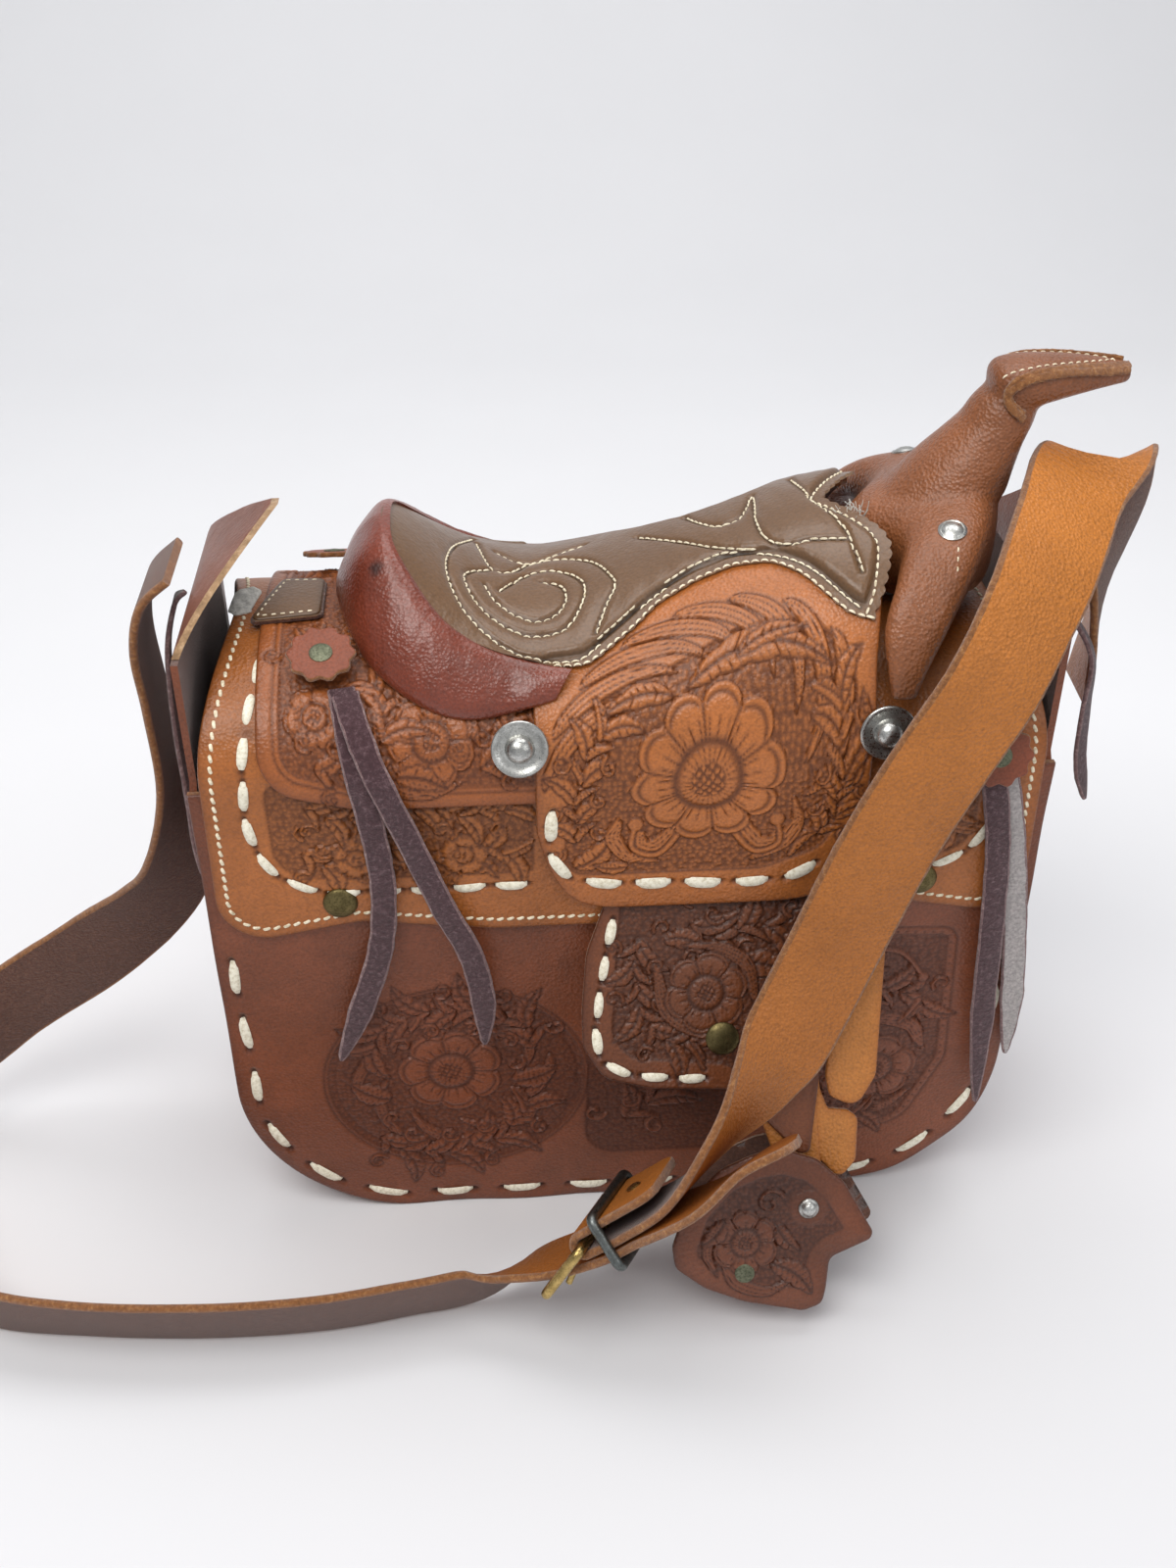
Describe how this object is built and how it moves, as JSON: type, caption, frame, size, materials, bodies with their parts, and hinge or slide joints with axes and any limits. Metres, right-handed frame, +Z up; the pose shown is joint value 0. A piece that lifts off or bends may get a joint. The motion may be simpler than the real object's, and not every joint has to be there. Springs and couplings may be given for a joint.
{
  "type": "saddle handbag",
  "caption": "Structured leather shoulder bag whose lifting lid carries a miniature stock saddle with seat, cantle, horn, hanging fenders and stirrups.",
  "frame": {"origin": "centre of the bag's flat bottom, on the surface it stands on", "axes": "+X runs along the bag towards the fork and horn, -Y is the front that carries the snaps, +Z is up"},
  "size_m": [0.4603, 0.2632, 0.3056],
  "materials": {
    "body_leather": "tooled, dark red-brown, satin",
    "gusset_leather": "red-brown outside, raw suede inside",
    "flap_leather": "tooled orange-tan, satin",
    "jockey_leather": "tooled tan-brown, satin",
    "fender_leather": "tooled brown, satin",
    "stirrup_leather": "tooled red-brown, satin",
    "latigo_leather": "smooth light tan",
    "strap_leather": "smooth tan face, suede back",
    "thong_leather": "plum thong, pale edges",
    "rosette_leather": "scalloped, raw edge",
    "cantle_leather": "glossy dark red-brown",
    "fork_leather": "smooth brown, worn",
    "seat_vinyl": "olive-brown padded vinyl, stitched",
    "lacing": "cream whip lace",
    "antique_brass": "antique brass",
    "buckle_brass": "worn brass",
    "gunmetal": "dark steel",
    "silver": "worn nickel",
    "green_brass": "tarnished brass",
    "tree_wood": "plain softwood"
  },
  "bodies": {
    "bag": {"front_panel": "body_leather", "back_panel": "body_leather", "gusset": "gusset_leather", "gusset_tab_left": "gusset_leather", "gusset_tab_right": "gusset_leather", "front_lacing": "lacing", "back_lacing": "lacing", "snap_studs": "antique_brass", "flap_back_lower": "flap_leather", "center_jockey_back_lower": "jockey_leather", "jockey_lacing_back": "lacing", "tie_left": "thong_leather", "tie_right": "thong_leather", "buckle_strap": "strap_leather", "billet_strap": "strap_leather", "buckle_frame": "buckle_brass", "keeper_loop": "gunmetal", "fold_rivet": "buckle_brass"},
    "prong": {"buckle_prong": "buckle_brass"},
    "saddle": {"flap": "flap_leather", "flap_lacing": "lacing", "snap_caps": "antique_brass", "rear_jockey": "jockey_leather", "center_jockey_front": "jockey_leather", "center_jockey_back": "jockey_leather", "jockey_lacing_front": "lacing", "saddle_tree": "tree_wood", "seat": "seat_vinyl", "seat_lap": "seat_vinyl", "cantle": "cantle_leather", "fork": "fork_leather", "fork_rivets": "silver", "horn": "fork_leather", "conchos_front": "silver", "conchos_back": "silver", "rosettes_front": "rosette_leather", "rosettes_back": "rosette_leather", "rosette_rivets_front": "green_brass", "rosette_rivets_back": "green_brass"},
    "front_left_strings": {"strings_front_left": "thong_leather"},
    "front_right_strings": {"strings_front_right": "thong_leather"},
    "back_left_strings": {"strings_back_left": "thong_leather"},
    "back_right_strings": {"strings_back_right": "thong_leather"},
    "front_fender_body": {"front_fender": "fender_leather", "stirrup_leathers_front": "latigo_leather", "fender_lacing_front": "lacing", "fender_snaps_front": "antique_brass"},
    "front_stirrup_body": {"stirrup_front": "stirrup_leather", "stirrup_bolt_front": "silver"},
    "front_latigo_body": {"latigo_front": "latigo_leather"},
    "back_fender_body": {"back_fender": "fender_leather", "stirrup_leathers_back": "latigo_leather", "fender_lacing_back": "lacing", "fender_snaps_back": "antique_brass"},
    "back_stirrup_body": {"stirrup_back": "stirrup_leather", "stirrup_bolt_back": "silver"},
    "back_latigo_body": {"latigo_back": "latigo_leather"}
  },
  "joints": [
    {"name": "flap_hinge", "type": "hinge", "parent": "bag", "child": "saddle", "pos_m": [0, 0.063, 0.182], "axis": [-1, 0, 0], "range_deg": [0, 95], "deforming": ["buckle_strap", "billet_strap", "gusset_tab_left"]},
    {"name": "front_fender_lift", "type": "hinge", "parent": "saddle", "child": "front_fender_body", "pos_m": [0, -0.0581, 0.1396], "axis": [-1, 0, 0], "range_deg": [0, 40], "deforming": ["buckle_strap", "billet_strap"]},
    {"name": "front_latigo_lift", "type": "hinge", "parent": "saddle", "child": "front_latigo_body", "pos_m": [0, -0.0581, 0.1396], "axis": [-1, 0, 0], "range_deg": [0, 40], "deforming": ["buckle_strap", "billet_strap"]},
    {"name": "front_stirrup_swing", "type": "hinge", "parent": "front_fender_body", "child": "front_stirrup_body", "pos_m": [0.05894, -0.10019, 0.04187], "axis": [0, -0.9135, 0.4067], "range_deg": [-15, 15], "deforming": ["buckle_strap", "billet_strap"]},
    {"name": "back_fender_lift", "type": "hinge", "parent": "bag", "child": "back_fender_body", "pos_m": [0, 0.0581, 0.1396], "axis": [1, 0, 0], "range_deg": [0, 40]},
    {"name": "back_latigo_lift", "type": "hinge", "parent": "bag", "child": "back_latigo_body", "pos_m": [0, 0.0581, 0.1396], "axis": [1, 0, 0], "range_deg": [0, 40]},
    {"name": "back_stirrup_swing", "type": "hinge", "parent": "back_fender_body", "child": "back_stirrup_body", "pos_m": [0.05894, 0.10019, 0.04187], "axis": [0, 0.9135, 0.4067], "range_deg": [-15, 15]},
    {"name": "prong_turn", "type": "hinge", "parent": "bag", "child": "prong", "pos_m": [-0.0133, -0.1122, 0.0464], "axis": [-0.3801, -0.8602, 0.3401], "range_deg": [0, 60]},
    {"name": "front_left_strings_swing", "type": "hinge", "parent": "saddle", "child": "front_left_strings", "pos_m": [-0.08875, -0.03565, 0.2249], "axis": [0, 1, 0], "range_deg": [-12, 12]},
    {"name": "front_right_strings_swing", "type": "hinge", "parent": "saddle", "child": "front_right_strings", "pos_m": [0.11789, -0.06051, 0.19649], "axis": [0, 1, 0], "range_deg": [-12, 12]},
    {"name": "back_left_strings_hang", "type": "hinge", "parent": "saddle", "child": "back_left_strings", "pos_m": [-0.08875, 0.03565, 0.2249], "axis": [-1, 0, 0], "range_deg": [-95, 0]},
    {"name": "back_right_strings_hang", "type": "hinge", "parent": "saddle", "child": "back_right_strings", "pos_m": [0.11789, 0.06348, 0.19048], "axis": [-1, 0, 0], "range_deg": [-95, 0]}
  ],
  "couplings": [
    {"joint": "back_left_strings_hang", "follows": "flap_hinge", "ratio": -1},
    {"joint": "back_right_strings_hang", "follows": "flap_hinge", "ratio": -1}
  ]
}
